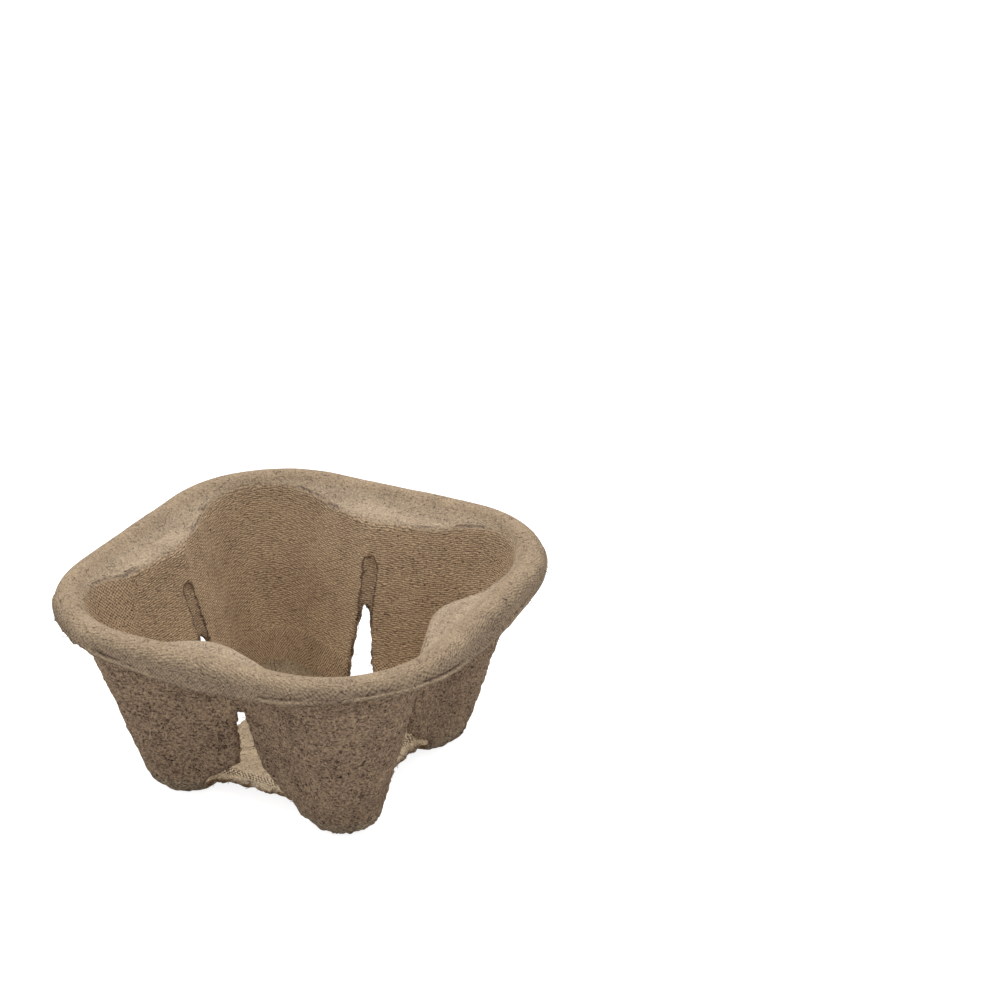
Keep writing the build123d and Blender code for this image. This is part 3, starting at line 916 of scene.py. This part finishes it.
# Felted back: it lay free in the wet pulp, so it is rough, darker and coarsely flecked, with
# cracks, and worn lighter under the floor.
back_brown, foot_tan = (0.40, 0.277, 0.185, 1), (0.42, 0.315, 0.215, 1)
back_pulp, tree, shader, place, spot = begin("pulp_felt_side")
wander = wandering(tree, place)
fibre = use(tree, felted, Place=place, Cloud=0.8, Fleck=3.2, Strokes=0.5, Fineness=1.35)
cracks = use(tree, cracked, Pattern=grain_of(tree, place, 0.16, 3.0),
             Breaks=wander["Breaks"], Edge=0.016, Core=0.003, Sparse=0.5, Full=0.56)["Mask"]
edge_by, crease_by = mark(tree, "from_edge"), mark(tree, "from_crease")
on_floor = ramp(tree, spot["Z"], 7.0, 5.0)
# the floor's folds are darkened on the back as well: painted shade along the folds
floor_fold_and_shade = use(tree, dark_line_group, From=crease_by, Width=0.7, Centre=0.4, Broken=0.45, **wander)["Mask"]
floor_fold_and_shade = times(tree, floor_fold_and_shade, on_floor)
edge_dark = use(tree, dark_line_group, From=edge_by, Width=1.4, Centre=0.0, Broken=0.42, **wander)["Mask"]
colour = blend(tree, on_floor, back_brown, foot_tan)
tone = darken(tree, fibre["Tone"], (edge_dark, 0.25), (floor_fold_and_shade, 0.3), (cracks, 0.55))
height = calc(tree, "SUBTRACT", fibre["Height"], times(tree, cracks, 0.25))
finish(tree, shader, colour, tone, height, 0.9)

# Torn edge: bare fibre, blotched light and dark
torn_tan, torn_dark = (0.41, 0.305, 0.205, 1), (0.20, 0.125, 0.07, 1)
torn_pulp, tree, shader, place, spot = begin("pulp_torn_edge")
fibre = use(tree, felted, Place=place, Cloud=0.5, Fleck=2.0, Strokes=0.4)
colour = blend(tree, ramp(tree, grain_of(tree, place, 0.6, 3.0), 0.42, 0.58), torn_dark, torn_tan)
finish(tree, shader, colour, fibre["Tone"], fibre["Height"], 0.6)
for material in (cup_pulp, back_pulp, torn_pulp):
    sheet_mesh.materials.append(material)

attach(carrier, "root")
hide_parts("carrier")

# Loose fibres: single fibres and small tufts that the tearing left standing along the lip and
# round the four openings. They are the same pulp, held at one end in the torn edge.
fibre_length, fibre_thickness, fibre_share, fibre_seed = 1.7 * mm, 0.09 * mm, 0.35, 7
fibre_bend = ((0, 0, -0.25), (0.12, 0, 0.55), (0.5, 0, 0.8))     # in lengths of a fibre, root first
shortest, longest = 0.35, 1.2
lean, twist = 1.0, 3.1                        # most that a fibre is turned from straight out
edge_mesh = bpy.data.meshes.new("torn_edge_line")
line_index = {p: k for k, p in enumerate(edge_ids)}
torn_lines = [(line_index[a], line_index[b]) for a, b in free]
edge_mesh.from_pydata((rim_line[edge_ids] * mm).tolist(), torn_lines, [])
outwards = edge_mesh.attributes.new("outwards", "FLOAT_VECTOR", "POINT")
outwards.data.foreach_set("vector", edge_out[edge_ids].ravel())
fibres = bpy.data.objects.new("loose_fibres", edge_mesh)
scene.collection.objects.link(fibres)

tree = bpy.data.node_groups.new("stand_fibres_on_edge", "GeometryNodeTree")
tree.interface.new_socket("Geometry", in_out="INPUT", socket_type="NodeSocketGeometry")
for label, kind, value in (("Length", "NodeSocketFloat", fibre_length),
                           ("Thickness", "NodeSocketFloat", fibre_thickness),
                           ("Share", "NodeSocketFloat", fibre_share), ("Seed", "NodeSocketInt", fibre_seed)):
    tree.interface.new_socket(label, in_out="INPUT", socket_type=kind).default_value = value
tree.interface.new_socket("Geometry", in_out="OUTPUT", socket_type="NodeSocketGeometry")
given = tree.nodes.new("NodeGroupInput").outputs
result = tree.nodes.new("NodeGroupOutput").inputs


def geo(kind, **values):
    """A geometry node with its inputs fed, their names written with _ for a space."""
    node = tree.nodes.new(kind)
    for label, value in values.items():
        feed(tree, node.inputs[label.replace("_", " ")], value)
    return node


chosen = tree.nodes.new("FunctionNodeRandomValue")
chosen.data_type = "BOOLEAN"
feed(tree, chosen.inputs["Probability"], given["Share"])
feed(tree, chosen.inputs["Seed"], given["Seed"])
roots = geo("GeometryNodeMeshToPoints", Mesh=given["Geometry"], Selection=chosen.outputs[3])
start, bend, end = fibre_bend
hair = geo("GeometryNodeCurveQuadraticBezier", Resolution=5, Start=start, Middle=bend, End=end)
round_bar = geo("GeometryNodeCurvePrimitiveCircle", Resolution=3)
feed(tree, round_bar.inputs["Radius"], calc(tree, "DIVIDE", given["Thickness"], given["Length"]))
tube = geo("GeometryNodeCurveToMesh", Curve=hair.outputs["Curve"], Profile_Curve=round_bar.outputs["Curve"],
           Fill_Caps=True)
direction = tree.nodes.new("GeometryNodeInputNamedAttribute")
direction.data_type = "FLOAT_VECTOR"
direction.inputs["Name"].default_value = "outwards"
straight_out = tree.nodes.new("FunctionNodeAlignRotationToVector")
straight_out.axis = "Z"
feed(tree, straight_out.inputs["Vector"], direction.outputs[0])
leaning = tree.nodes.new("FunctionNodeRandomValue")
leaning.data_type = "FLOAT_VECTOR"
leaning.inputs["Min"].default_value = (-lean, -lean, -twist)
leaning.inputs["Max"].default_value = (lean, lean, twist)
feed(tree, leaning.inputs["Seed"], given["Seed"])
turned = tree.nodes.new("FunctionNodeRotateRotation")
turned.rotation_space = "LOCAL"
feed(tree, turned.inputs["Rotation"], straight_out.outputs[0])
feed(tree, turned.inputs["Rotate By"], leaning.outputs[0])
long_by = tree.nodes.new("FunctionNodeRandomValue")
long_by.inputs[2].default_value = shortest
long_by.inputs[3].default_value = longest
feed(tree, long_by.inputs["Seed"], given["Seed"])
standing = geo("GeometryNodeInstanceOnPoints", Points=roots.outputs[0], Instance=tube.outputs[0],
               Rotation=turned.outputs[0], Scale=calc(tree, "MULTIPLY", long_by.outputs[1], given["Length"]))
real = geo("GeometryNodeRealizeInstances", Geometry=standing.outputs[0])
painted = geo("GeometryNodeSetMaterial", Geometry=real.outputs[0], Material=torn_pulp)
feed(tree, result["Geometry"], painted.outputs[0])

maker = fibres.modifiers.new("stand_fibres", "NODES")
maker.node_group = tree
for item in tree.interface.items_tree:
    if item.in_out == "INPUT" and item.name == "Share":
        maker[item.identifier] = fibre_share
grown = bpy.data.meshes.new_from_object(fibres.evaluated_get(bpy.context.evaluated_depsgraph_get()))
fibres.modifiers.clear()
fibres.data = grown

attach(fibres, "root")
